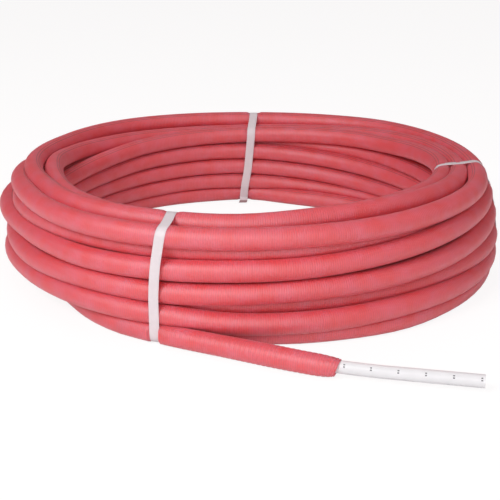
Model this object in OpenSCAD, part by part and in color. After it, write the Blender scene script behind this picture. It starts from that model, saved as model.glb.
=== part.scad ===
// Coil of foam-covered plastic water pipe, lying flat, tied with three flat straps.
// Millimetres. The origin is on the coil's axis, level with the ground it lies on.

/* [Pipe] */
// Outer diameter of the bare pipe
pipe_od = 17; // [12:0.5:25]
// Bore of the bare pipe
pipe_id = 12.8; // [8:0.1:18]
// Length of bare pipe that stands out of the cover
pipe_bare = 178; // [130:1:300]

/* [Foam cover] */
// Wall of the foam on the wound turns
cover_wall = 6.5; // [4:0.5:12]
// Wall of the foam on the free end, where it is pulled thinner
tail_wall = 5.5; // [3:0.5:10]
// Clearance between the pipe and the foam all round
cover_clear = 0.2; // [0.1:0.05:0.5]

/* [Coil] */
// Clear diameter of the coil's eye
eye_d = 620; // [400:5:900]
// Number of upright columns of turns across the winding
columns = 5; // [3:1:7]
// Number of turns in a full column
rows = 5; // [3:1:8]
// How much less than one cover diameter neighbouring columns stand apart
column_nest = 12.5; // [8:0.5:14]
// How much more than one cover diameter the turns of a column stand apart
row_slack = 4; // [0:0.5:6]
// How far the solid filling stays behind the centres of the outermost turns
core_inset = 4; // [1:0.5:8]

/* [Free end] */
// Bearing at which the free end leaves the coil, from +X
tail_bearing = -116.4; // [-180:0.1:180]
// Straight length of the free end before its bend
tail_straight = 250; // [150:5:400]
// Radius of the bend in the free end
tail_bend_r = 560; // [350:10:900]
// Angle of the bend in the free end
tail_bend = 14; // [4:1:30]
// How much the diameters draw in round the bend
bend_draw = 0.2; // [0.1:0.05:0.4]
// Length of covered free end, from where it leaves the coil
tail_covered = 322; // [200:1:500]

/* [Straps] */
// Width of a strap
strap_w = 12; // [8:0.5:20]
// Thickness of a strap
strap_t = 0.8; // [0.5:0.1:1.5]
// How far a strap pulls the foam in
strap_bite = 1.5; // [1:0.1:2.2]
// Clearance between a strap and the foam
strap_clear = 0.2; // [0.1:0.05:0.4]
// Bearing of the front strap, from +X
front_bearing = -110; // [-112:1:-108]
// Bearing of the back strap, from +X
back_bearing = 90; // [60:1:120]
// Bearing of the side strap, from +X
side_bearing = -4; // [-30:1:30]
// Length of the back strap's loose end inside the eye
loose_end = 14; // [6:1:25]

/* [Hidden] */
$fn = 72;

cover_od = pipe_od + 2 * cover_wall;
cover_r = cover_od / 2;
column_pitch = cover_od - column_nest;
row_pitch = cover_od + row_slack;
first_r = eye_d / 2 + cover_r;
last_r = first_r + (columns - 1) * column_pitch;
coil_h = cover_od + (rows - 1) * row_pitch;
coil_r = last_r + cover_r;
tail_od = pipe_od + 2 * tail_wall;
hole_od = pipe_od + 2 * cover_clear;
bend_len = tail_bend_r * tail_bend * PI / 180;
bend_lap = 0.5;
overrun = 1;
margin = 6;

// Number of turns in column c: every second column sits half a row up, with one turn less
function column_rows(c) = rows - c % 2;
function bend_angle(len) = len / tail_bend_r * 180 / PI;
function turn_r(c) = first_r + c * column_pitch;
function turn_z(c, k) = cover_r + (k + (c % 2) / 2) * row_pitch;

// Section of the winding: the turns, and a filling for the hidden hollows between them
module winding_section() {
    for (c = [0 : columns - 1], k = [0 : column_rows(c) - 1])
        translate([turn_r(c), turn_z(c, k)]) circle(r = cover_r);
    translate([first_r + core_inset, cover_r + core_inset])
        square([last_r - first_r - 2 * core_inset, coil_h - cover_od - 2 * core_inset]);
}

// Puts a child, drawn along +X from the leaving point, on the free end's line
module on_tail() {
    rotate([0, 0, tail_bearing])
        translate([last_r, 0, cover_r]) rotate([0, 0, 90]) children();
}

// Round rod along the free end, from start to end: straight, the bend, straight again.
// The wall draws in a hair round the bend, and the bend laps into both straights.
module tail_rod(start, end, d) {
    turned = min(max(end - tail_straight, 0), bend_len);
    last = max(end - tail_straight - bend_len, 0);
    lap = last > 0 ? bend_lap : 0;
    translate([start, 0, 0]) rotate([0, 90, 0]) cylinder(d = d, h = min(end, tail_straight) - start);
    if (turned > 0)
        translate([tail_straight, tail_bend_r, 0]) rotate([0, 0, -90 - bend_angle(bend_lap)])
            rotate_extrude(angle = bend_angle(bend_lap + turned + lap))
                translate([tail_bend_r, 0]) circle(d = d - bend_draw);
    if (last > 0)
        translate([tail_straight, tail_bend_r, 0]) rotate([0, 0, tail_bend])
            translate([0, -tail_bend_r, 0]) rotate([0, 90, 0]) cylinder(d = d, h = last);
}

// Rectangle with round corners, low corner at x0, z0
module round_rect(x0, z0, x1, z1, r) {
    translate([x0 + r, z0]) square([x1 - x0 - 2 * r, z1 - z0]);
    translate([x0, z0 + r]) square([x1 - x0, z1 - z0 - 2 * r]);
    for (x = [x0 + r, x1 - r], z = [z0 + r, z1 - r])
        translate([x, z]) circle(r = r);
}

// Outline of a strap's loop, grown outwards from the face that meets the foam
module loop_outline(grow) {
    inset = strap_bite - grow;
    round_rect(eye_d / 2 + inset, inset, coil_r - inset, coil_h - inset, cover_r - inset);
}

// Stands a flat outline up in the winding's section at a bearing, w thick
module across_winding(bearing, w) {
    rotate([0, 0, bearing]) rotate([90, 0, 0])
        translate([0, 0, -w / 2]) linear_extrude(w) children();
}

// What a strap presses away from the foam
module strap_channel(bearing) {
    across_winding(bearing, strap_w + 2 * strap_clear)
        difference() {
            translate([eye_d / 2 - margin, -margin])
                square([coil_r - eye_d / 2 + 2 * margin, coil_h + 2 * margin]);
            loop_outline(-strap_clear);
        }
}

module strap(bearing) {
    across_winding(bearing, strap_w)
        difference() {
            loop_outline(strap_t);
            loop_outline(0);
        }
}

module foam_cover() {
    color([0.86, 0.30, 0.33])
        difference() {
            union() {
                rotate_extrude() winding_section();
                on_tail() tail_rod(0, tail_covered, tail_od);
            }
            on_tail() tail_rod(-overrun, tail_covered + overrun, hole_od);
            for (b = [front_bearing, back_bearing, side_bearing]) strap_channel(b);
        }
}

module water_pipe() {
    color([0.93, 0.94, 0.96])
        on_tail() difference() {
            tail_rod(0, tail_covered + pipe_bare, pipe_od);
            tail_rod(-overrun, tail_covered + pipe_bare + overrun, pipe_id);
        }
}

module front_strap() {
    color([0.95, 0.93, 0.94]) strap(front_bearing);
}

// The back strap's loose end runs on from its lower leg into the eye
module back_strap() {
    color([0.90, 0.85, 0.88]) {
        strap(back_bearing);
        across_winding(back_bearing, strap_w)
            translate([eye_d / 2 - loose_end, strap_bite - strap_t])
                square([loose_end + cover_r, strap_t]);
    }
}

module side_strap() {
    color([0.95, 0.93, 0.94]) strap(side_bearing);
}

foam_cover();
water_pipe();
front_strap();
back_strap();
side_strap();
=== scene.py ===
"""Looks of a coil of foam-covered plastic water pipe, tied with flat plastic straps.

The coil is one covered pipe wound into 23 turns. Its winding is laid out as listed stations of
bearing, radius and height, pressed together slice by slice until the turns rest on each other,
and skinned as one long soft tube. Everything is in metres unless a name says otherwise.
"""

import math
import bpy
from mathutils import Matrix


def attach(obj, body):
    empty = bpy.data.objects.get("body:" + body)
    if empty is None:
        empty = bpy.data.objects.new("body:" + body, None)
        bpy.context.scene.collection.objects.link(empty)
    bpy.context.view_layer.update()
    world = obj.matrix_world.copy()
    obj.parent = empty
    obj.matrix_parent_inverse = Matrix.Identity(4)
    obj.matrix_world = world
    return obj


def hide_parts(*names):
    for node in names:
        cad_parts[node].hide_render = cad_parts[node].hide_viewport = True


bl_info = {
    "name": "Covered Pipe Coil",
    "version": (1, 0, 0),
    "blender": (4, 5, 0),
    "location": "3D View > Sidebar > Pipe Coil",
    "description": "Builds a coil of foam-covered plastic pipe tied with straps",
    "category": "Object",
}

import bpy
import numpy as np
from bpy.props import FloatProperty, FloatVectorProperty, IntProperty, PointerProperty
from mathutils import Vector

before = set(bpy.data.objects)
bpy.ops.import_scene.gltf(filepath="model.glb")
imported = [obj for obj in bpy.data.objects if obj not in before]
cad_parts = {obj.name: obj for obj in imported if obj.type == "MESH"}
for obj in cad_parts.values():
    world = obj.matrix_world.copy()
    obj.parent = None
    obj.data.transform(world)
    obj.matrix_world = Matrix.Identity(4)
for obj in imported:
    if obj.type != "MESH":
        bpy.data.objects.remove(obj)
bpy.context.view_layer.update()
MM = 0.001
FULL_TURN = 360.0
# Least height of anything that lies on the ground.
GROUND_GAP = 0.1 * MM

# ------------------------------------ the winding, as it is laid
# Bearings are in degrees from +X, rising counter-clockwise; radii and heights are millimetres.
# A turn runs from TURN_START to 360 degrees on, and each starts where the one before it ends.
TURN_START = -140.0

# A turn given by one pair (radius, height) is buried and lies on that bed. It keeps its bed up to
# BED_END, and from BED_START on it lies on the next turn's. A turn that shows is given by stations
# (bearing, radius, height); a fourth value of 0 marks a station where it is buried too.
BED_END = 40.0
BED_START = 200.0
# Where buried lengths stay, by bearing: least and greatest radius, least and greatest height, and
# the greatest radius of a turn that lies on the ground. The last one grows with height.
BURIED_LIMITS = (
    (-180, 342, 370, 22, 138, 354), (-168, 342, 364, 36, 138, 354), (-125, 342, 366, 36, 138, 380),
    (-108, 342, 373, 16, 138, 380), (-20, 342, 373, 16, 136, 380), (5, 347, 373, 16, 126, 380),
    (40, 347, 373, 16, 118, 380), (60, 345, 370, 16, 112, 380), (105, 345, 370, 16, 112, 372),
    (140, 345, 372, 16, 114, 352), (165, 342, 370, 16, 122, 350), (180, 342, 370, 22, 136, 354),
)

TURNS = (
    # the heart of the winding, innermost length first
    ((342, 132),),
    ((342, 66),),
    ((342, 32),),
    ((357, 16),),
    ((357, 50),),
    ((357, 84),),
    ((357, 118),),
    # peeps out between the two upper outer rows in front
    ((-165, 369, 123), (-140, 372, 126), (-110, 375, 127.5), (-80, 375, 128.5), (-50, 372, 134),
     (-25, 364, 128, 0), (45, 366, 122, 0), (180, 372, 100, 0)),
    ((372, 88),),
    ((372, 24),),
    # foot, rising behind to the next row
    ((-140, 352, 47), (-125, 358, 40), (-112, 364, 28), (-98, 376, 18), (-85, 388, 15.3),
     (-70, 392.5, 15.3), (-58, 397, 15.3), (-44, 393, 15.3), (-28, 390, 15.3), (-5, 387, 15.3),
     (45, 386, 15.3), (90, 388, 17), (135, 390, 28), (180, 386.5, 39), (195, 384.5, 41),
     (210, 383, 43.5)),
    # lowest outer row
    ((-137, 388, 44), (-124, 396, 43.5), (-115, 397.5, 42), (-106, 397, 39.5), (-93, 396, 32),
     (-80, 398, 31), (-63, 399, 33), (-43, 399, 36.5), (-20, 395, 37), (5, 390, 37), (45, 385, 40),
     (90, 383, 41), (135, 381, 45), (160, 376, 49), (180, 370, 51)),
    # sunk row that comes out on the right
    ((-140, 372, 54), (-110, 374, 53), (-80, 375, 53), (-50, 382, 56), (-20, 394, 61),
     (0, 393.5, 62), (45, 396, 62), (90, 394, 63), (135, 391, 64), (180, 381.5, 65.5)),
    # third outer row
    ((-160, 380.5, 67), (-140, 388.5, 69), (-125, 391, 71), (-108, 392, 70), (-94, 392, 72.5),
     (-80, 393, 76.5), (-63, 394, 80.5), (-43, 395, 88), (-30, 393, 93), (-16, 390, 97),
     (0, 388, 100), (45, 394, 94), (90, 396, 91), (135, 397, 92), (155, 402, 97), (170, 401, 99.5)),
    # second outer row
    ((-177, 395, 100.5), (-165, 387, 101.5), (-150, 380, 102), (-140, 384, 102.5),
     (-125, 391, 101.5), (-108, 390, 102), (-94, 391, 105), (-80, 391, 107.5), (-63, 391, 114),
     (-44, 391, 123), (-28, 386, 126), (-12, 382, 127.5), (2, 380, 127.5), (20, 383, 125),
     (45, 392, 121), (90, 398, 119), (135, 401, 120), (165, 384.5, 128)),
    # top outer row
    ((-180, 370, 142), (-170, 369, 148), (-160, 370, 151), (-150, 373, 151), (-140, 380, 150.7),
     (-125, 391, 150.7), (-108, 393, 149.7), (-94, 391, 149.3), (-80, 391, 151), (-63, 389, 152.3),
     (-44, 386, 155.5), (-25, 379, 157.2), (-11, 369.5, 157.5), (0, 364.5, 157.5), (13, 364, 157),
     (24, 368, 156.5), (36, 377, 155), (50, 386, 154), (65, 385, 152.5), (90, 380, 152),
     (110, 386, 152), (125, 390, 152), (134, 385, 152.5), (146, 373, 153.5), (157, 360, 155.5),
     (168, 355, 157.5)),
    # crown, crossing the top inwards
    ((-180, 352.5, 158.5), (-169, 348.5, 159.5), (-150, 345, 159), (-136, 352, 158),
     (-126, 352, 157.5), (-111, 350, 156.5), (-92, 354, 157.5), (-76, 351, 162), (-60, 349, 164.5),
     (-40, 345.5, 161.5), (-10, 341.5, 155.5), (10, 340.5, 152.5), (45, 351, 145.5),
     (60, 353, 140), (75, 354, 134.5),
     (92, 354, 130), (110, 350, 130.5), (135, 348, 134.5), (150, 345.5, 138), (163, 337, 142.5),
     (170, 330.5, 146)),
    # inner rim
    ((-182, 322.5, 150), (-140, 318, 146.5), (-110, 320, 143.5), (-80, 320, 147), (-50, 318, 154),
     (-20, 317, 154.5), (0, 315.5, 153.5), (18, 318.5, 148), (37, 324, 141.5), (54, 325, 140),
     (72, 325, 137), (90, 325, 134), (107, 325, 131), (129, 325, 124), (144, 325, 115.5),
     (157, 325, 110)),
    # inner face, second row, which sinks in behind the next
    ((-160, 325, 114), (-90, 325, 112), (-20, 327, 108), (27, 334, 107), (47, 339, 110),
     (64, 342, 112), (81, 346, 113), (110, 349, 113), (135, 347, 114), (150, 346, 111),
     (190, 341, 100, 0)),
    # inner face, third row
    ((-120, 328, 90), (-60, 325, 84), (0, 325, 82), (36, 325, 85), (53, 325, 90),
     (72, 325, 96), (90, 325, 101), (110, 325, 100), (129, 325, 95), (145, 325, 86),
     (180, 325, 80)),
    # inner face, fourth row
    ((-120, 325, 66), (-60, 325, 58), (0, 325, 54), (45, 325, 56), (63, 325, 62),
     (81, 325, 68), (93, 325, 71), (122, 325, 68), (138, 325, 64), (180, 325, 56)),
    # inner face, fifth row
    ((-120, 325, 46), (-60, 325, 34), (0, 326, 28), (45, 326, 30), (63, 325, 33),
     (81, 325, 38), (93, 325, 41.5), (114, 325, 41), (130, 325, 38), (180, 325, 38)),
    # inner face, lowest row, which slips inwards on the right
    ((-130, 326, 36), (-100, 330, 22), (-60, 338, 15.3), (-20, 336, 15.3), (20, 325, 15.3),
     (48, 312, 15.3), (66, 306, 15.3), (73, 308, 15.3), (79, 315, 15.3), (86, 328, 15.3),
     (93, 332, 15.3), (104, 328, 15.3), (117, 328, 15.3), (140, 330, 15.3), (165, 331, 15.3),
     (185, 331, 15.2), (198, 333.5, 15.1)),
    # last length, which passes out under the winding
    ((-151, 338, 15), (-143, 344.5, 15), (-136.4, 352.8, 15), (-130, 365, 15), (-123.9, 378.2, 15),
     (-116.4, 392, 15)),
)

# The free end leaves the winding square to its radius, at the height of a turn that lies on the
# ground, and has one bend. Its cover is pulled back a little from the length that the frame gives.
LEAVE_BEARING = -116.4
LEAVE_RADIUS = 395 * MM
RESTING_HEIGHT = 15 * MM
FREE_STRAIGHT = 250 * MM
FREE_BEND_RADIUS = 560 * MM
FREE_BEND = math.radians(14)
FREE_COVERED = 322 * MM
FREE_BARE = 178 * MM
PULLED_BACK = 2.5 * MM
PIPE_RADIUS = 8.5 * MM
BORE_CLEARANCE = 0.2 * MM
# How the soft cover lies on the free end, in millimetres: distance along it, how far it hangs
# outwards from the pipe's own line, and how far its middle is below that line.
FREE_LIE = (
    (0, -3, 0), (40, 1.5, 0), (90, 4.6, -0.4), (180, 4.0, -0.3), (290, 2.8, 0.3), (322, 1.0, 1.5),
)

# Straps, in degrees and millimetres: bearing and width, how far the band leans along the coil per
# unit of radius, and its shifts along the coil at rising heights, as they are on the outside. In
# the eye they are "inside" times as large. "joint" is the height in the eye at which the band's
# ends overlap, and "tab" the length of its loose end.
STRAPS = {
    "front_strap": {
        "bearing": -107.6,
        "width": 14.4,
        "lean": 0.06,
        "heights": (0, 40, 70, 103, 118, 132, 150, 165, 176),
        "shifts": (-2.6, -3.4, -4.0, -2.0, -0.2, 2.3, 5.3, 7.8, 7.8),
        "inside": 0.5,
        "joint": 70.0,
        "tab": 0.0,
    },
    "back_strap": {
        "bearing": 89.5,
        "width": 15.2,
        "lean": -0.08,
        "heights": (0, 35, 66, 100, 133, 160, 175),
        "shifts": (8.2, 3.8, -2.0, -5.1, -8.3, -8.3, -6.0),
        "inside": 1.0,
        "joint": 32.0,
        "tab": 24.0,
    },
    "side_strap": {
        "bearing": -3.4,
        "width": 14.5,
        "lean": 0.075,
        "heights": (0, 60, 110, 150, 168, 175),
        "shifts": (-52.0, -48.0, -40.0, -29.0, -21.5, -21.5),
        "inside": 1.6,
        "joint": 70.0,
        "tab": 0.0,
    },
}
# A band's lean is nothing at this radius, and its shifts change over between the other two.
LEAN_RADIUS = 380 * MM
EYE_RADIUS = 340 * MM
OUTSIDE_RADIUS = 385 * MM


# ------------------------------------ the user's sizes and colours
def size(name, millimetres, text):
    """A length that a user may change."""
    return FloatProperty(name=name, description=text, default=millimetres * MM, unit="LENGTH")


def colour(name, rgb, text):
    """A colour that a user may change."""
    return FloatVectorProperty(name=name, description=text, default=rgb, size=3, subtype="COLOR")


class PipeCoilSizes(bpy.types.PropertyGroup):
    """Sizes of the coil's soft pieces."""

    cover_radius: size("Cover radius", 15.2, "Radius of the foam cover on the wound turns")
    free_radius: size(
        "Free end radius", 14.3, "Radius of the cover on the free end, where it is pulled thinner",
    )
    end_radius: size("Cut end radius", 11.2, "Radius of the foam cover next to its cut end")
    cut_slant: size(
        "Cut slant", 3.4, "How far the cut end leans along the pipe, from its middle to its top",
    )
    rib_pitch: size("Rib pitch", 3.08, "Distance between the fine ribs embossed across the cover")
    rib_height: size("Rib height", 0.45, "Height of the fine ribs")
    fold_pitch: size("Fold pitch", 7.3, "Distance between the soft folds round the free end")
    fold_height: size("Fold height", 0.4, "Height of the soft folds round the free end")
    strap_bite: size("Strap bite", 2.0, "How far a strap presses into the foam")
    strap_thickness: size("Strap thickness", 0.8, "Thickness of a strap")
    sides: IntProperty(
        name="Cover sides",
        description="Number of faces round the cover",
        default=24,
        min=12,
        max=32,
    )


class PipeCoilColours(bpy.types.PropertyGroup):
    """Colours of the coil's finishes, in linear light."""

    foam: colour("Foam", (0.81, 0.048, 0.064), "Main colour of the foam cover")
    foam_bloom: colour(
        "Foam bloom", (0.82, 0.100, 0.150), "Paler colour of the cover's skin where it is rubbed",
    )
    pipe: colour("Pipe", (0.80, 0.83, 0.85), "Colour of the bare plastic pipe")
    strap: colour("Strap", (0.80, 0.76, 0.79), "Colour of the plastic straps")


# ------------------------------------ small mathematics
def smoothstep(x):
    """Eases from 0 to 1 as x does."""
    x = np.clip(x, 0.0, 1.0)
    return x * x * (3.0 - 2.0 * x)


def through_points(known, values, wanted):
    """A smooth curve through values, given at rising known places, read at the wanted places."""
    slope = np.gradient(values, known, axis=0)
    low = np.clip(np.searchsorted(known, wanted, side="right") - 1, 0, len(known) - 2)
    span = (known[low + 1] - known[low])[:, None]
    t = ((wanted - known[low]) / span[:, 0])[:, None]
    start, end = values[low], values[low + 1]
    s0, s1 = slope[low] * span, slope[low + 1] * span
    return (
        start * (2 * t**3 - 3 * t**2 + 1)
        + s0 * (t**3 - 2 * t**2 + t)
        + end * (3 * t**2 - 2 * t**3)
        + s1 * (t**3 - t**2)
    )


def unit(vectors):
    """Vectors cut or grown to a length of one."""
    return vectors / np.maximum(np.sqrt((vectors**2).sum(-1)), 1e-9)[..., None]


def length_along(points):
    """Distance of each point of a line from its first, along the line."""
    return np.append(0.0, np.cumsum(np.sqrt((np.diff(points, axis=0) ** 2).sum(1))))


def outwards(heading):
    """Level directions to the right of level headings, which is away from the coil."""
    return np.stack([heading[:, 1], -heading[:, 0], np.zeros(len(heading))], 1)


def signed(bearing):
    """A bearing as it is from -180 up to 180."""
    return (bearing + 180.0) % FULL_TURN - 180.0


def in_turn(bearing):
    """A bearing as the first turn counts it, from TURN_START up."""
    return (bearing - TURN_START) % FULL_TURN + TURN_START


def convex_outline(points):
    """Counter-clockwise convex outline of points in a plane."""
    pts = sorted(map(tuple, points))

    def chain(ordered):
        out = []
        for p in ordered:
            while len(out) > 1 and (
                (out[-1][0] - out[-2][0]) * (p[1] - out[-2][1])
                - (out[-1][1] - out[-2][1]) * (p[0] - out[-2][0])
            ) <= 0:
                out.pop()
            out.append(p)
        return out[:-1]

    return np.array(chain(pts) + chain(pts[::-1]))


# ------------------------------------ the route of the pipe
# Degrees between places on the route.
STATION = 3.0
PER_TURN = int(FULL_TURN / STATION)
# How the turns settle. Distances between centres are in cover radii.
SETTLING_ROUNDS = 120
CLOSEST_BURIED = 1.36
CLOSEST_EXTRA_SHOWN = 0.27
LOWEST_CENTRE = 0.97
SHOWN_FIRMNESS = 0.93
PUSH = 0.45
SMOOTHING = 0.14
SMOOTHING_EXTRA_BURIED = 0.21
RETURN_SHOWN = 0.25
FOOT_SLOPE = 0.9


def laid_stations():
    """Stations of the whole winding: unrolled bearing, radius, height, and how firmly each is
    held in place (0 for a buried length that may give way, 1 for one that shows)."""
    rows = []
    for n, stations in enumerate(TURNS):
        turn = FULL_TURN * n
        if len(stations) == 1:
            radius, height = stations[0]
            start = TURN_START if n == 0 else BED_START - FULL_TURN
            rows += [(start + turn, radius, height, 0.0), (BED_END + turn, radius, height, 0.0)]
            continue
        for station in stations:
            bearing, radius, height = station[:3]
            rows.append((bearing + turn, radius, height, 0.0 if len(station) == 4 else 1.0))
    return np.array(rows, float)


def press_together(bearings, laid, held, radius):
    """Moves the turns apart, slice by slice, until none is pressed in more than foam allows."""
    turns = int(np.ceil(len(bearings) / PER_TURN))
    total = turns * PER_TURN
    shown = np.zeros(total)
    shown[: len(held)] = held
    shown = shown.reshape(turns, PER_TURN)
    give = 1.0 - SHOWN_FIRMNESS * shown
    share = give[:, None] / (give[:, None] + give[None, :])
    either = np.minimum(1.0, shown[:, None] + shown[None, :])
    nearest = radius * (CLOSEST_BURIED + CLOSEST_EXTRA_SHOWN * either)
    limits = np.array(BURIED_LIMITS, float)
    around = signed(bearings)
    columns = [np.interp(around, limits[:, 0], limits[:, i]) for i in (1, 3, 2, 4, 5)]
    limits = np.stack(columns, 1) * MM
    low, high, foot = limits[:, :2], limits[:, 2:4], limits[:, 4]
    loose = (1.0 - held)[:, None]
    place = laid.copy()
    for step in range(SETTLING_ROUNDS):
        padded = np.full((total, 2), np.nan)
        padded[: len(place)] = place
        grid = padded.reshape(turns, PER_TURN, 2)
        apart = grid[:, None] - grid[None, :]
        distance = np.sqrt((apart**2).sum(-1))
        short = np.where((distance < nearest) & (distance > 0), nearest - distance, 0.0)
        push = apart / np.where(distance > 0, distance, 1.0)[..., None] * (short * share)[..., None]
        place = place + PUSH * np.nansum(push, axis=1).reshape(total, 2)[: len(place)]
        smooth = 0.5 * (np.roll(place, 1, 0) + np.roll(place, -1, 0)) - place
        smooth[[0, -1]] = 0.0
        place = place + smooth * (SMOOTHING + SMOOTHING_EXTRA_BURIED * loose)
        place = place + RETURN_SHOWN * (1.0 - loose) * (laid - place)
        kept = np.clip(place, low, high)
        kept[:, 0] = np.minimum(kept[:, 0], foot + FOOT_SLOPE * (kept[:, 1] - RESTING_HEIGHT))
        place = place + loose * (kept - place)
        place[:, 1] = np.maximum(place[:, 1], radius * LOWEST_CENTRE)
    return place


def wound_route(radius):
    """Unrolled bearings and (radius, height) of the whole winding, in metres."""
    stations = laid_stations()
    last = stations[-1, 0]
    bearings = np.append(np.arange(TURN_START, last - STATION / 2, STATION), last)
    laid = through_points(stations[:, 0], stations[:, 1:3], bearings) * MM
    held = np.interp(bearings, stations[:, 0], stations[:, 3])
    return bearings, press_together(bearings, laid, held, radius)


def free_route(along):
    """Points and directions on the free end, at distances from where it leaves the winding."""
    a = math.radians(LEAVE_BEARING)
    start = np.array((math.cos(a), math.sin(a), 0.0)) * LEAVE_RADIUS
    start[2] = RESTING_HEIGHT
    forward = np.array((-math.sin(a), math.cos(a), 0.0))
    left = np.array((-math.cos(a), -math.sin(a), 0.0))
    bend = np.clip((along - FREE_STRAIGHT) / FREE_BEND_RADIUS, 0.0, FREE_BEND)
    rest = np.maximum(along - FREE_STRAIGHT - FREE_BEND_RADIUS * FREE_BEND, 0.0)
    ahead = np.minimum(along, FREE_STRAIGHT) + FREE_BEND_RADIUS * np.sin(bend) + rest * np.cos(bend)
    aside = FREE_BEND_RADIUS * (1 - np.cos(bend)) + rest * np.sin(bend)
    points = start + ahead[:, None] * forward + aside[:, None] * left
    heading = np.cos(bend)[:, None] * forward + np.sin(bend)[:, None] * left
    return points, heading


def cover_route(along):
    """Points and directions of the cover on the free end, which sags a little off the pipe."""
    points, heading = free_route(along)
    lie = np.array(FREE_LIE) * MM
    aside, below = through_points(lie[:, 0], lie[:, 1:], along).T
    lain = aside[:, None] * outwards(heading) - below[:, None] * np.array((0, 0, 1.0))
    return points + lain, heading


def strap_shift(strap, radius, height):
    """How far along the coil a strap's middle line is from its bearing."""
    shift = np.interp(height, np.array(strap["heights"]) * MM, np.array(strap["shifts"]) * MM)
    outside = smoothstep((radius - EYE_RADIUS) / (OUTSIDE_RADIUS - EYE_RADIUS))
    share = strap["inside"] + (1.0 - strap["inside"]) * outside
    return shift * share + strap["lean"] * (radius - LEAN_RADIUS)


def strap_offset(strap, bearing, radius, height):
    """Distance along the coil from a strap's leaning middle line."""
    around = signed(bearing - strap["bearing"])
    return np.radians(around) * radius - strap_shift(strap, radius, height)


# Degrees round a strap's bearing at which the turns under it are looked for.
LOOP_SEARCH = np.linspace(-9, 9, 37)
# Least height of the foam's side of a band, which leaves room for the band on the ground.
BAND_GROUND = 1.2 * MM
# The free end is a neighbour of the winding up to this angle past where it leaves.
FREE_END_NEAR = math.radians(40)


class Winding:
    """The wound route, what each slice across the coil holds, and the loops of the straps."""

    def __init__(self, sizes):
        self.radius = sizes.cover_radius
        self.bearings, self.place = wound_route(sizes.cover_radius)
        self.turns = int(np.ceil(len(self.bearings) / PER_TURN))
        self.loops = {
            name: self.strap_loop(strap, sizes.strap_bite) for name, strap in STRAPS.items()
        }

    def slice_at(self, bearings):
        """(radius, height) of every turn at bearings of the first; nan where a turn is missing."""
        wanted = bearings[None, :] + FULL_TURN * np.arange(self.turns)[:, None]
        flat = through_points(self.bearings, self.place, wanted.ravel())
        flat[wanted.ravel() > self.bearings[-1] + 1e-6] = np.nan
        return flat.reshape(self.turns, len(bearings), 2)

    def free_end_at(self, bearing):
        """(radius, height) of the free end in a slice close after it leaves."""
        past = math.radians(bearing - LEAVE_BEARING)
        if not 0 < past < FREE_END_NEAR:
            return None
        return LEAVE_RADIUS / math.cos(past), RESTING_HEIGHT

    def strap_loop(self, strap, bite):
        """Convex outline that a strap pulls the turns into, each taken where the strap is."""
        near = in_turn(strap["bearing"]) + LOOP_SEARCH
        held = self.slice_at(near)
        crossings = []
        for turn in range(self.turns):
            places = held[turn]
            if np.isnan(places[:, 0]).any():
                continue
            gap = abs(strap_offset(strap, near, places[:, 0], places[:, 1]))
            crossings.append(places[gap.argmin()])
        for bearing in near:
            free = self.free_end_at(bearing)
            if free and abs(strap_offset(strap, bearing, *free)) < 2 * MM:
                crossings.append(free)
        angle = np.linspace(0, 2 * math.pi, 48, endpoint=False)
        rim = np.stack([np.cos(angle), np.sin(angle)], 1) * (self.radius - bite)
        points = (np.array(crossings)[:, None] + rim[None]).reshape(-1, 2)
        points[:, 1] = np.maximum(points[:, 1], BAND_GROUND)
        return convex_outline(points)


# ------------------------------------ skinning the cover
# Degrees between rings: away from the straps, near them, and the least of all.
RING_STEP = 4.0
RING_STEP_FINE = 0.7
RING_STEP_LEAST = 0.3
# How far along the coil a strap's finer rings reach, worked out at the coil's middle radius.
FINE_REACH = 25 * MM
MIDDLE_RADIUS = 360 * MM
# How a ring is pressed: how near a neighbour has to be and how small a strap can press it, in
# radii of the ring, how sharply the round side turns into a pressed flat, the least cosines at
# which a neighbour and a strap are faced, and a distance so great that it doesn't press.
NEIGHBOUR_REACH = 2.3
MOST_PRESSED = 0.55
SHARPNESS = 30.0
FACED = 0.05
STRAP_FACED = 0.02
UNPRESSED = 1.0


def slice_marks():
    """Bearings of the rings in one turn: even steps, and closer ones beside each strap."""
    marks = set(np.round(np.arange(TURN_START, TURN_START + FULL_TURN, RING_STEP), 4))
    for strap in STRAPS.values():
        bearing = in_turn(strap["bearing"])
        corners = [(r * MM, z * MM) for r in (325, 395) for z in (15, 160)]
        shifts = [strap_shift(strap, *corner) for corner in corners]
        first = bearing + math.degrees((min(shifts) - FINE_REACH) / MIDDLE_RADIUS)
        last = bearing + math.degrees((max(shifts) + FINE_REACH) / MIDDLE_RADIUS)
        marks |= set(np.round(np.arange(first, last, RING_STEP_FINE), 4))
    marks = np.array(sorted(marks))
    keep = np.append(True, np.diff(marks) > RING_STEP_LEAST)
    return marks[keep]


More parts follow.
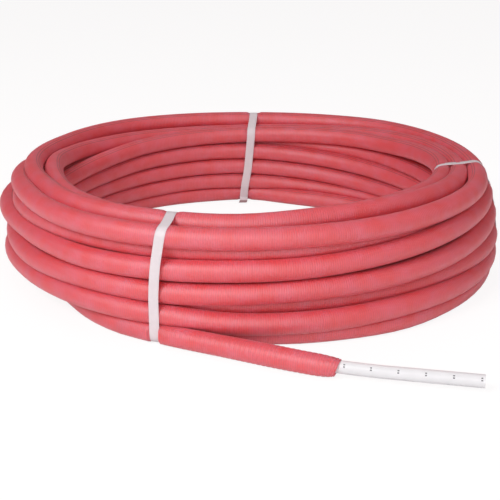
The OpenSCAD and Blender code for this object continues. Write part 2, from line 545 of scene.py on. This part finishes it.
def pressed_radii(place, others, angles, radius, bearing, winding, spring=6 * MM, spread=21 * MM):
    """Radii of one ring, flattened against its neighbours, the ground and the straps. Beside a
    strap, the foam springs back by up to `spring` within `spread` of the band's edge."""
    across = np.stack([np.cos(angles), np.sin(angles)], 1)
    total = np.full(len(angles), radius**-SHARPNESS)
    away = others - place
    distance = np.sqrt((away**2).sum(1))
    for offset, length in zip(away, distance):
        if 0 < length < NEIGHBOUR_REACH * radius:
            facing = across @ (offset / length)
            pressed = 0.5 * length / np.maximum(facing, FACED)
            total += np.where(facing > FACED, pressed, UNPRESSED) ** -SHARPNESS
    down = -across[:, 1]
    ground = np.where(down > FACED, place[1] / np.maximum(down, FACED), UNPRESSED)
    total += ground**-SHARPNESS
    radii = total ** (-1.0 / SHARPNESS)
    for name, strap in STRAPS.items():
        offset = abs(strap_offset(strap, bearing, place[0], place[1]))
        half = 0.5 * strap["width"] * MM
        if offset > half + spread + 1 * MM:
            continue
        loop = winding.loops[name]
        edge = np.roll(loop, -1, 0) - loop
        normal = unit(np.stack([edge[:, 1], -edge[:, 0]], 1))
        reach = (normal * (loop - place)).sum(1)
        ease = spring * smoothstep((offset - half) / spread) ** 0.75
        facing = across @ normal.T
        pressed = (reach + ease) / np.maximum(facing, STRAP_FACED)
        limit = np.where(facing > STRAP_FACED, pressed, UNPRESSED).min(1)
        radii = np.minimum(radii, np.maximum(limit, MOST_PRESSED * radius))
    return radii


# Length over which the wound cover thins to the free end's, before it leaves.
THINNING = 100 * MM


def wound_rings(winding, sizes):
    """Centres and vertices of every ring of the wound turns, in winding order."""
    marks = slice_marks()
    held = winding.slice_at(marks)
    angles = np.linspace(0, 2 * math.pi, sizes.sides, endpoint=False)
    centres, rings = [], []
    for turn in range(winding.turns):
        for m, bearing in enumerate(marks):
            place = held[turn, m]
            if np.isnan(place[0]):
                continue
            others = np.delete(held[:, m], turn, 0)
            others = others[~np.isnan(others[:, 0])]
            free = winding.free_end_at(bearing)
            if free:
                others = np.vstack([others, free])
            left = (winding.bearings[-1] - bearing - FULL_TURN * turn) * math.pi / 180 * place[0]
            ease = smoothstep(1 - left / THINNING)
            radius = sizes.cover_radius + (sizes.free_radius - sizes.cover_radius) * float(ease)
            radii = pressed_radii(place, others, angles, radius, bearing, winding)
            a = math.radians(bearing)
            out = place[0] + radii * np.cos(angles)
            up = place[1] + radii * np.sin(angles)
            rings.append(np.stack([out * math.cos(a), out * math.sin(a), up], 1))
            centres.append((place[0] * math.cos(a), place[0] * math.sin(a), place[1]))
    return np.array(centres), np.array(rings)


# The free end's cover: where it swells, by how much and over what length, and from where it draws
# in, and how suddenly.
SWELLS_AT, SWELLS_BY, SWELLS_OVER = 225 * MM, 0.5 * MM, 50 * MM
DRAWN_FROM, DRAWN_POWER = 285 * MM, 2.4
# Faces along each fold, the length over which the folds grow to their full height, how far before
# the end they stop, and the length over which the cut end's slant fades.
FACES_PER_FOLD = 6
FOLDS_OVER = 240 * MM
FOLDS_STOP = 2.4 * MM
SLANT_OVER = 18 * MM
# The rolled rim of the cut end, in millimetres: distance back from the end, and how much wider
# than the cut end's radius it is. The bore follows.
RIM = (
    (1.9, 0.1), (1.2, 0.45), (0.5, 0.42), (0.05, 0.1), (0.0, -0.5), (0.25, -1.1), (0.8, -1.6),
)
RIM_DEPTH = 1.6 * MM


def free_radius_at(along, sizes):
    """Radius of the cover along the free end: even, one soft swelling, then drawn in."""
    swelling = SWELLS_BY * np.exp(-(((along - SWELLS_AT) / SWELLS_OVER) ** 2))
    drawn = np.clip((along - DRAWN_FROM) / (FREE_COVERED - DRAWN_FROM), 0.0, 1.0) ** DRAWN_POWER
    return sizes.free_radius + swelling + (sizes.end_radius - sizes.free_radius) * drawn


def free_rings(winding, sizes):
    """Rings of the free end's cover: folded outside, rolled rim, and the bore back inside. The
    foam springs back more freely beside the strap here than it does where turns hold it."""
    pitch = sizes.fold_pitch
    end = FREE_COVERED - PULLED_BACK
    steps = np.arange(pitch / FACES_PER_FOLD, end - FOLDS_STOP, pitch / FACES_PER_FOLD)
    growth = sizes.fold_height * (0.3 + 0.7 * smoothstep(steps / FOLDS_OVER))
    folds = growth * (abs(np.sin(math.pi * steps / pitch)) ** 0.7 - 0.75)
    bore = PIPE_RADIUS + BORE_CLEARANCE
    inner = np.arange(end - 6 * MM, 0, -12 * MM)
    rim_along = [end - back * MM for back, wider in RIM] + [end - RIM_DEPTH]
    rim_radius = [sizes.end_radius + wider * MM for back, wider in RIM] + [bore]
    along = np.concatenate([steps, rim_along, inner])
    outside = free_radius_at(steps, sizes) + folds
    radius = np.concatenate([outside, rim_radius, np.full(len(inner), bore)])
    rolled = len(steps) + len(rim_along)
    points, heading = cover_route(along)
    bore_points = free_route(along)[0]
    side = outwards(heading)
    angles = np.linspace(0, 2 * math.pi, sizes.sides, endpoint=False)
    slant = sizes.cut_slant * smoothstep((along - end + SLANT_OVER) / SLANT_OVER)
    slant[rolled:] = 0.0
    rings = []
    for n in range(len(along)):
        radii = np.full(len(angles), radius[n])
        if n < len(steps):
            bearing = math.degrees(math.atan2(points[n, 1], points[n, 0]))
            place = np.array([math.hypot(points[n, 0], points[n, 1]), points[n, 2]])
            others = winding.slice_at(np.array([bearing]))[:, 0]
            others = others[~np.isnan(others[:, 0])]
            held = (place, others, angles, radius[n], bearing, winding)
            radii = pressed_radii(*held, spring=22 * MM, spread=9 * MM)
        if n >= rolled - 1:
            points[n] = bore_points[n]
        up = np.sin(angles)[:, None] * np.array((0, 0, 1.0))
        ring = points[n] + radii[:, None] * (np.cos(angles)[:, None] * side[n] + up)
        ring = ring + (slant[n] * np.sin(angles))[:, None] * heading[n]
        ring[:, 2] = np.maximum(ring[:, 2], GROUND_GAP)
        rings.append(ring)
    return points, np.array(rings)


def mesh_object(name, verts, faces, uvs):
    """A smooth object with a map of length along and place around."""
    mesh = bpy.data.meshes.new(name)
    mesh.from_pydata(verts, [], faces)
    layer = mesh.uv_layers.new(name="Route")
    layer.data.foreach_set("uv", np.array(uvs, np.float32).ravel())
    mesh.polygons.foreach_set("use_smooth", [True] * len(mesh.polygons))
    mesh.update()
    made = bpy.data.objects.new(name, mesh)
    bpy.context.scene.collection.objects.link(made)
    return made


def tube_object(name, centres, rings, start_cap, end_cap):
    """One closed mesh through rings of vertices, with a map of length along and place around."""
    count, sides = rings.shape[:2]
    length = length_along(centres)
    verts = [tuple(v) for v in rings.reshape(-1, 3)]
    faces, uvs = [], []
    for n in range(count - 1):
        for k in range(sides):
            nxt = (k + 1) % sides
            a, b = n * sides, (n + 1) * sides
            faces.append((a + k, a + nxt, b + nxt, b + k))
            here, ahead = length[n], length[n + 1]
            low, high = k / sides, (k + 1) / sides
            uvs += [(here, low), (here, high), (ahead, high), (ahead, low)]
    for at, cap, flip in ((0, start_cap, True), (count - 1, end_cap, False)):
        centre = len(verts)
        verts.append(tuple(cap))
        for k in range(sides):
            a, b = at * sides + k, at * sides + (k + 1) % sides
            faces.append((b, a, centre) if flip else (a, b, centre))
            uvs += [(length[at], k / sides)] * 3
    return mesh_object(name, verts, faces, uvs)


# ------------------------------------ straps
# Distance between stations of a band, how many of them overlap, over how many it lifts to lie on
# its own start, and the gaps between its two layers and between it and the foam.
BAND_STEP = 3 * MM
BAND_OVERLAP = 10
BAND_LIFT = 3
LAYER_GAP = 0.06 * MM
FOAM_GAP = 0.12 * MM
# Rounds of smoothing of a band's shifts, and of its path.
SHIFT_ROUNDS = 10
PATH_ROUNDS = 2
# A band's joint is inside this radius.
JOINT_RADIUS = 330 * MM
# A loose end starts where the band comes below this height. Then its stations, the directions
# (radius, height) in which it starts and ends, and which way its upper side faces.
TAB_HEIGHT = 6 * MM
TAB_STATIONS = 5
TAB_DOWN = np.array((-0.75, -0.66))
TAB_IN = np.array((-1.0, 0.0))
TAB_UPPER = np.array((-0.25, 0.97))
# The band's section: place across it, as a share of its half width and an added width, and level,
# from 0 on the foam's side to 1 outside, in thicknesses.
BAND_SECTION = (
    (-1, 0, 0.35), (-1, 0.35, 0.0), (-0.5, 0, -0.04), (0, 0, -0.05), (0.5, 0, -0.04),
    (1, -0.35, 0.0), (1, 0, 0.35), (1, 0, 0.65), (1, -0.35, 1.0), (0.5, 0, 1.05), (0, 0, 1.08),
    (-0.5, 0, 1.05), (-1, 0.35, 1.0), (-1, 0, 0.65),
)


def loose_end(strap, body, normal, shift):
    """Stations of a band's loose end, from the last station of its body: it bends down to the
    ground and lies on it, into the eye."""
    path, at = [], body
    for n in range(TAB_STATIONS):
        turned = n / (TAB_STATIONS - 1)
        at = at + unit(TAB_DOWN * (1 - turned) + TAB_IN * turned) * strap["tab"] * MM / TAB_STATIONS
        path.append((at[0], max(at[1], 1.0 * MM + 0.5 * MM * n)))
    blend = np.linspace(0.4, 1.0, TAB_STATIONS)[:, None]
    normals = unit(normal * (1 - blend) + TAB_UPPER * blend)
    return np.array(path), normals, shift + np.arange(TAB_STATIONS) * 0.5 * MM


def strap_path(strap, loop, sizes):
    """Stations of a band round its loop: (radius, height), outward direction and shift along the
    coil. It starts in the eye, goes under and round the winding, and overlaps its own start."""
    closed = np.vstack([loop, loop[:1]])
    length = length_along(closed)
    count = int(length[-1] / BAND_STEP)
    wanted = np.linspace(0, length[-1], count, endpoint=False)
    path = np.stack([np.interp(wanted, length, closed[:, i]) for i in (0, 1)], 1)
    shift = strap_shift(strap, path[:, 0], path[:, 1])
    for step in range(SHIFT_ROUNDS):
        if step < PATH_ROUNDS:
            path = path * 0.5 + (np.roll(path, 1, 0) + np.roll(path, -1, 0)) * 0.25
        shift = shift * 0.5 + (np.roll(shift, 1) + np.roll(shift, -1)) * 0.25
    along = np.roll(path, -1, 0) - np.roll(path, 1, 0)
    normal = unit(np.stack([along[:, 1], -along[:, 0]], 1))
    inner = path[:, 0] < JOINT_RADIUS
    start = np.where(inner, abs(path[:, 1] - strap["joint"] * MM), np.inf).argmin()
    laid = np.arange(count + BAND_OVERLAP)
    order = (start + laid) % count
    lift = (sizes.strap_thickness + LAYER_GAP) * smoothstep((laid - count + BAND_LIFT) / BAND_LIFT)
    if strap["tab"]:
        low = np.where(path[order][:, 1] < TAB_HEIGHT)[0]
        low = low[low >= count - BAND_LIFT]
        order = order[: low[0] if len(low) else count + BAND_OVERLAP - 1]
    path, normal, shift = path[order], normal[order], shift[order]
    path = path + normal * lift[: len(order), None]
    if not strap["tab"]:
        return path, normal, shift
    tab = loose_end(strap, path[-1], normal[-1], shift[-1])
    return np.vstack([path, tab[0]]), np.vstack([normal, tab[1]]), np.append(shift, tab[2])


def strap_band(name, strap, loop, sizes):
    """A flat band with rounded edges along its path, closed at both of its ends."""
    path, normal, shift = strap_path(strap, loop, sizes)
    half = 0.5 * strap["width"] * MM
    profile = [(share * half + added * MM, level) for share, added, level in BAND_SECTION]
    verts = []
    for (r, z), (nr, nz), t in zip(path, normal, shift):
        for side, level in profile:
            grow = FOAM_GAP + level * sizes.strap_thickness
            pr, pz = r + nr * grow, max(z + nz * grow, GROUND_GAP)
            a = math.radians(strap["bearing"]) + (t + side) / pr
            verts.append((pr * math.cos(a), pr * math.sin(a), pz))
    sides, count = len(profile), len(path)
    length = length_along(path)
    faces, uvs = [], []
    for n in range(count - 1):
        for k in range(sides):
            j = (k + 1) % sides
            faces.append((n * sides + k, (n + 1) * sides + k, (n + 1) * sides + j, n * sides + j))
            c, d = profile[k][0], profile[j][0]
            uvs += [(length[n], c), (length[n + 1], c), (length[n + 1], d), (length[n], d)]
    last = (count - 1) * sides
    faces.append(tuple(range(sides)))
    uvs += [(length[0], side) for side, level in profile]
    faces.append(tuple(last + k for k in reversed(range(sides))))
    uvs += [(length[-1], side) for side, level in reversed(profile)]
    return mesh_object(name, verts, faces, uvs)


# ------------------------------------ finishes
# The cover's double seam: where its two lines run round the cover, in turns, and their half width.
SEAM_LINES = (0.31, 0.352)
SEAM_LINE_HALF = 0.009
SEAM_COLOUR = (0.22, 0.035, 0.035)
# The bare pipe's ticks: how far apart, how far from its end, how long as a share of the pitch to
# each side, and the (height, half height) of each tick's two dashes above the pipe's middle.
TICK_PITCH = 33.6 * MM
TICK_OFFSET = 4.0 * MM
TICK_HALF = 0.034
DASHES = ((6.3 * MM, 0.55 * MM), (4.0 * MM, 0.75 * MM))
INK_COLOUR = (0.05, 0.055, 0.07)
# A loose end is tinted dark brown: inside this distance from the axis, with heights counted so many
# times over that only what lies on the ground is inside it.
DARK_END_REACH = 312 * MM
DARK_END_HEIGHTS = 6.0
DARK_END_COLOUR = (0.27, 0.14, 0.14)


class Tree:
    """Short ways to add nodes to one node tree and to join them."""

    def __init__(self, owner):
        owner.use_nodes = True
        self.nodes, self.links = owner.node_tree.nodes, owner.node_tree.links

    def feed(self, node, inputs):
        """Sets a node's inputs, or joins them to other nodes' outputs, by name or number."""
        for key, value in inputs.items():
            if isinstance(value, bpy.types.NodeSocket):
                self.links.new(value, node.inputs[key])
            else:
                node.inputs[key].default_value = value
        return node

    def add(self, kind, inputs=None, **settings):
        node = self.nodes.new("ShaderNode" + kind)
        for name, value in settings.items():
            setattr(node, name, value)
        return self.feed(node, inputs or {})

    def maths(self, operation, first, second=None):
        inputs = {0: first} if second is None else {0: first, 1: second}
        return self.add("Math", inputs, operation=operation).outputs[0]

    def vectors(self, operation, first, second=None):
        inputs = {0: first} if second is None else {0: first, 1: second}
        return self.add("VectorMath", inputs, operation=operation).outputs

    def within(self, value, centre, half):
        """1 where a value is less than `half` away from a centre, else 0."""
        gap = self.maths("ABSOLUTE", self.maths("SUBTRACT", value, centre))
        return self.maths("LESS_THAN", gap, half)

    def noise(self, place, scale, detail):
        inputs = {"Vector": place, "Scale": scale, "Detail": detail}
        return self.add("TexNoise", inputs).outputs["Fac"]

    def ramp(self, factor, *stops):
        """A colour that runs between (position, colour) stops."""
        node = self.add("ValToRGB", {"Fac": factor})
        for element, (position, colour) in zip(node.color_ramp.elements, stops):
            element.position = position
            element.color = (*colour, 1.0)
        return node.outputs["Color"]

    def mix(self, factor, first, colour):
        node = self.add("Mix", data_type="RGBA")
        self.feed(node, {"Factor": factor, "A": first, "B": (*colour, 1.0)})
        return node.outputs["Result"]

    def bump(self, relief, strength):
        inputs = {"Height": relief, "Distance": 1.0, "Strength": strength}
        return self.add("Bump", inputs).outputs["Normal"]

    def place(self):
        return self.add("TexCoord").outputs["Object"]

    def split(self, vector):
        return self.add("SeparateXYZ", {0: vector}).outputs

    def route(self):
        """Length along and place around, from the piece's own map."""
        return self.split(self.add("UVMap", uv_map="Route").outputs["UV"])[:2]


def new_finish(name):
    """A new material, its node tree and its shader."""
    made = bpy.data.materials.new(name)
    tree = Tree(made)
    return made, tree, tree.nodes["Principled BSDF"]


def foam_finish(sizes, colours):
    """Soft foam skin: fine embossed ribs with painted shade in the grooves between them, a faint
    double seam and rubbed, paler patches.
    """
    made, tree, shader = new_finish("foam_skin")
    along, around = tree.route()
    place = tree.place()
    patches = tree.noise(place, 38.0, 4.0)
    skin = tree.ramp(patches, (0.35, colours.foam), (0.68, colours.foam_bloom))
    ribs = tree.maths("SINE", tree.maths("MULTIPLY", along, 2 * math.pi / sizes.rib_pitch))
    grain = tree.maths("MULTIPLY", tree.noise(place, 900.0, 2.0), 0.08 * MM)
    relief = tree.maths("ADD", tree.maths("MULTIPLY", ribs, 0.5 * sizes.rib_height), grain)
    lines = []
    for centre in SEAM_LINES:
        gap = tree.maths("ABSOLUTE", tree.maths("SUBTRACT", around, centre))
        line = tree.maths("SUBTRACT", 1.0, tree.maths("DIVIDE", gap, SEAM_LINE_HALF))
        lines.append(tree.maths("MAXIMUM", line, 0.0))
    seam = tree.maths("MAXIMUM", *lines)
    relief = tree.maths("ADD", relief, tree.maths("MULTIPLY", seam, -0.25 * MM))
    # Painted shade: the base colour is made a little deeper in the grooves between the ribs, and
    # this is added to the dark seam lines.
    valley_shade = tree.maths("ADD", tree.maths("MULTIPLY", ribs, -0.075), 0.075)
    seam_and_valley_shade = tree.maths("ADD", tree.maths("MULTIPLY", seam, 0.75), valley_shade)
    tree.feed(shader, {
        "Base Color": tree.mix(seam_and_valley_shade, skin, SEAM_COLOUR),
        "Normal": tree.bump(relief, 0.9),
        "Roughness": 0.56,
        "Specular IOR Level": 1.0,
        "Specular Tint": (0.86, 0.93, 1.0, 1.0),
        "Coat Weight": 1.0,
        "Coat Roughness": 0.58,
        "Coat IOR": 1.85,
        "Sheen Weight": 0.1,
        "Sheen Roughness": 0.5,
        "Sheen Tint": (1.0, 0.80, 0.88, 1.0),
        "Subsurface Weight": 0.8,
        "Subsurface Radius": (1.0, 0.12, 0.12),
        "Subsurface Scale": 0.014,
    })
    return made


def pipe_finish(colours):
    """Milky plastic with plain measuring ticks along its outward side."""
    made, tree, shader = new_finish("milky_pipe")
    place = tree.place()
    duller, brighter = ([min(1.0, share * c) for c in colours.pipe] for share in (0.93, 1.05))
    tone = tree.ramp(tree.noise(place, 55.0, 3.0), (0.0, duller), (1.0, brighter))
    end, heading = free_route(np.array([FREE_COVERED + FREE_BARE]))
    from_end = tree.vectors("SUBTRACT", place, tuple(end[0]))["Vector"]
    run = tree.vectors("DOT_PRODUCT", from_end, tuple(heading[0]))["Value"]
    out = tree.vectors("DOT_PRODUCT", from_end, tuple(outwards(heading)[0]))["Value"]
    phase = tree.maths("DIVIDE", tree.maths("ADD", run, TICK_OFFSET), TICK_PITCH)
    phase = tree.maths("FRACT", tree.maths("ADD", phase, 0.5))
    tick = tree.within(phase, 0.5, TICK_HALF)
    height = tree.split(from_end)["Z"]
    dash = tree.maths("MAXIMUM", *(tree.within(height, *dash) for dash in DASHES))
    ink = tree.maths("MULTIPLY", tree.maths("MULTIPLY", tick, dash), 0.85)
    ink = tree.maths("MULTIPLY", ink, tree.maths("GREATER_THAN", out, 0.0))
    tree.feed(shader, {
        "Base Color": tree.mix(ink, tone, INK_COLOUR),
        "Roughness": 0.36,
        "Subsurface Weight": 0.15,
        "Subsurface Radius": (0.004, 0.004, 0.004),
    })
    return made


def strap_finish(colours):
    """Packing band: satin plastic with a fine pressed diamond pattern, tinted dark brown on a loose
    end.
    """
    made, tree, shader = new_finish("packing_band")
    along, across = tree.route()
    waves = []
    for slant in (1.0, -1.0):
        skew = tree.maths("ADD", tree.maths("MULTIPLY", across, slant), along)
        waves.append(tree.maths("SINE", tree.maths("MULTIPLY", skew, 2 * math.pi / (1.6 * MM))))
    relief = tree.maths("MULTIPLY", tree.maths("MULTIPLY", *waves), 0.05 * MM)
    place = tree.place()
    duller = [0.90 * c for c in colours.strap]
    tone = tree.ramp(tree.noise(place, 140.0, 3.0), (0.0, duller), (1.0, colours.strap))
    # Tinted dark brown where the band lies on the ground inside the eye, which is its loose end.
    raised = tree.vectors("MULTIPLY", place, (1.0, 1.0, DARK_END_HEIGHTS))["Vector"]
    from_axis = tree.vectors("LENGTH", raised)["Value"]
    dark_end = tree.maths("MULTIPLY", tree.maths("LESS_THAN", from_axis, DARK_END_REACH), 0.8)
    tree.feed(shader, {
        "Base Color": tree.mix(dark_end, tone, DARK_END_COLOUR),
        "Normal": tree.bump(relief, 0.8),
        "Roughness": 0.38,
    })
    return made


def floor_finish():
    """Pale floor that the camera sees as almost white, and that keeps a soft shadow."""
    made = bpy.data.materials.new("studio_floor")
    tree = Tree(made)
    tree.nodes.clear()
    matt = tree.add("BsdfDiffuse", {"Color": (0.80, 0.80, 0.80, 1.0)})
    glow = tree.add("Emission", {"Color": (1.0, 1.0, 1.0, 1.0), "Strength": 1.1})
    rays = tree.add("LightPath").outputs
    seen = tree.maths("MAXIMUM", rays["Is Camera Ray"], rays["Is Transmission Ray"])
    seen = tree.maths("MULTIPLY", seen, 0.8)
    both = tree.add("MixShader", {"Fac": seen, 1: matt.outputs[0], 2: glow.outputs[0]})
    tree.add("OutputMaterial", {"Surface": both.outputs[0]})
    return made


# ------------------------------------ operators
def placed(piece, finish, slot, *nodes):
    """Gives a piece its finish and its place in the frame, and hides the CAD nodes it stands for.
    """
    piece.data.materials.append(finish)
    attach(piece, "root")
    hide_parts(*nodes)


# Lights: name, place, size and power. All point at the origin.
LIGHTS = (
    ("key", (-1.7, -2.2, 2.2), 1.5, 57.0),
    ("front", (0.2, -1.9, 0.7), 1.2, 7.4),
    ("fill", (2.4, -0.6, 1.8), 2.4, 8.0),
    ("back", (-0.3, 0.8, 3.0), 2.2, 10.5),
)
# The camera looks at a point a little to the right of the origin and above it, in its own view.
CAMERA_ELEVATION = math.radians(18.66)
CAMERA_DISTANCE = 1.7745
CAMERA_AIM = (2.9 * MM, 3.75 * MM)


class PIPECOIL_OT_stage(bpy.types.Operator):
    """Make the pale floor, the soft lights and the camera"""

    bl_idname = "pipecoil.stage"
    bl_label = "Make Stage"

    def execute(self, context):
        scene = context.scene
        scene.view_settings.view_transform = "Standard"
        bpy.ops.mesh.primitive_plane_add(size=60.0, location=(0.0, 0.0, 0.0))
        floor = context.object
        floor.name = "studio_floor"
        floor.data.materials.append(floor_finish())
        for light in LIGHTS:
            self.light(*light)
        self.world(scene)
        self.camera(scene)
        return {"FINISHED"}

    def light(self, name, place, size, power):
        lamp = bpy.data.lights.new(name, "AREA")
        lamp.shape = "DISK"
        lamp.size = size
        lamp.energy = power
        made = bpy.data.objects.new(name, lamp)
        made.location = place
        made.rotation_euler = (-Vector(place)).to_track_quat("-Z", "Y").to_euler()
        bpy.context.scene.collection.objects.link(made)

    def world(self, scene):
        """White to the camera, and a soft, faintly pink light that gloss hardly reflects."""
        world = bpy.data.worlds.new("studio")
        tree = Tree(world)
        rays = tree.add("LightPath").outputs
        dimmer = tree.maths("MULTIPLY", rays["Is Glossy Ray"], -0.31)
        soft = {"Color": (1.0, 0.78, 0.78, 1.0), "Strength": tree.maths("ADD", dimmer, 0.36)}
        soft = tree.feed(tree.nodes["Background"], soft)
        seen = tree.add("Background", {"Color": (1.0, 1.0, 1.0, 1.0), "Strength": 1.0})
        shades = {"Fac": rays["Is Camera Ray"], 1: soft.outputs[0], 2: seen.outputs[0]}
        both = tree.add("MixShader", shades)
        tree.feed(tree.nodes["World Output"], {"Surface": both.outputs[0]})
        scene.world = world

    def camera(self, scene):
        lens = bpy.data.cameras.new("camera")
        lens.sensor_width = 36.0
        lens.lens = 75.0
        made = bpy.data.objects.new("camera", lens)
        rise, back = math.sin(CAMERA_ELEVATION), math.cos(CAMERA_ELEVATION)
        made.location = (0.0, -CAMERA_DISTANCE * back, CAMERA_DISTANCE * rise)
        aim = Vector((CAMERA_AIM[0], 0.0, 0.0)) + CAMERA_AIM[1] * Vector((0.0, rise, back))
        made.rotation_euler = (aim - made.location).to_track_quat("-Z", "Y").to_euler()
        scene.collection.objects.link(made)
        scene.camera = made


class PIPECOIL_OT_foam_cover(bpy.types.Operator):
    """Wind the foam cover and lead its free end out along the floor"""

    bl_idname = "pipecoil.foam_cover"
    bl_label = "Make Foam Cover"

    def execute(self, context):
        sizes, colours = context.scene.pipe_coil_sizes, context.scene.pipe_coil_colours
        winding = Winding(sizes)
        centres, rings = wound_rings(winding, sizes)
        free_centres, free = free_rings(winding, sizes)
        start = centres[0] + (centres[0] - centres[1]) * 0.2
        centres = np.vstack([centres, free_centres])
        rings = np.vstack([rings, free])
        cover = tube_object("foam_cover_tube", centres, rings, start, centres[-1])
        placed(cover, foam_finish(sizes, colours), "foam", "foam_cover")
        return {"FINISHED"}


class PIPECOIL_OT_water_pipe(bpy.types.Operator):
    """Finish the bare pipe as milky plastic with plain ticks"""

    bl_idname = "pipecoil.water_pipe"
    bl_label = "Finish Water Pipe"

    def execute(self, context):
        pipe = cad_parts["water_pipe"]
        finish = pipe_finish(context.scene.pipe_coil_colours)
        for slot in pipe.material_slots:
            slot.material = finish
        if not pipe.material_slots:
            pipe.data.materials.append(finish)
        return {"FINISHED"}


class PIPECOIL_OT_straps(bpy.types.Operator):
    """Tie the coil with its three flat straps"""

    bl_idname = "pipecoil.straps"
    bl_label = "Make Straps"

    def execute(self, context):
        sizes, colours = context.scene.pipe_coil_sizes, context.scene.pipe_coil_colours
        winding = Winding(sizes)
        finish = strap_finish(colours)
        for name, strap in STRAPS.items():
            band = strap_band(name + "_band", strap, winding.loops[name], sizes)
            placed(band, finish, "strap", name)
        return {"FINISHED"}


class PIPECOIL_PT_panel(bpy.types.Panel):
    """Sidebar panel that lists the coil's pieces"""

    bl_idname = "PIPECOIL_PT_panel"
    bl_label = "Pipe Coil"
    bl_space_type = "VIEW_3D"
    bl_region_type = "UI"
    bl_category = "Pipe Coil"

    def draw(self, context):
        layout = self.layout
        for group in (context.scene.pipe_coil_sizes, context.scene.pipe_coil_colours):
            box = layout.box()
            for name in group.__annotations__:
                box.prop(group, name)
        for operator in OPERATORS:
            layout.operator(operator.bl_idname)


OPERATORS = (
    PIPECOIL_OT_stage,
    PIPECOIL_OT_foam_cover,
    PIPECOIL_OT_water_pipe,
    PIPECOIL_OT_straps,
)
CLASSES = (PipeCoilSizes, PipeCoilColours, *OPERATORS, PIPECOIL_PT_panel)


def register():
    for cls in CLASSES:
        bpy.utils.register_class(cls)
    bpy.types.Scene.pipe_coil_sizes = PointerProperty(type=PipeCoilSizes)
    bpy.types.Scene.pipe_coil_colours = PointerProperty(type=PipeCoilColours)


def unregister():
    del bpy.types.Scene.pipe_coil_colours
    del bpy.types.Scene.pipe_coil_sizes
    for cls in reversed(CLASSES):
        bpy.utils.unregister_class(cls)


def main():
    register()
    bpy.ops.pipecoil.stage()
    bpy.ops.pipecoil.foam_cover()
    bpy.ops.pipecoil.water_pipe()
    bpy.ops.pipecoil.straps()


if __name__ == "__main__":
    main()
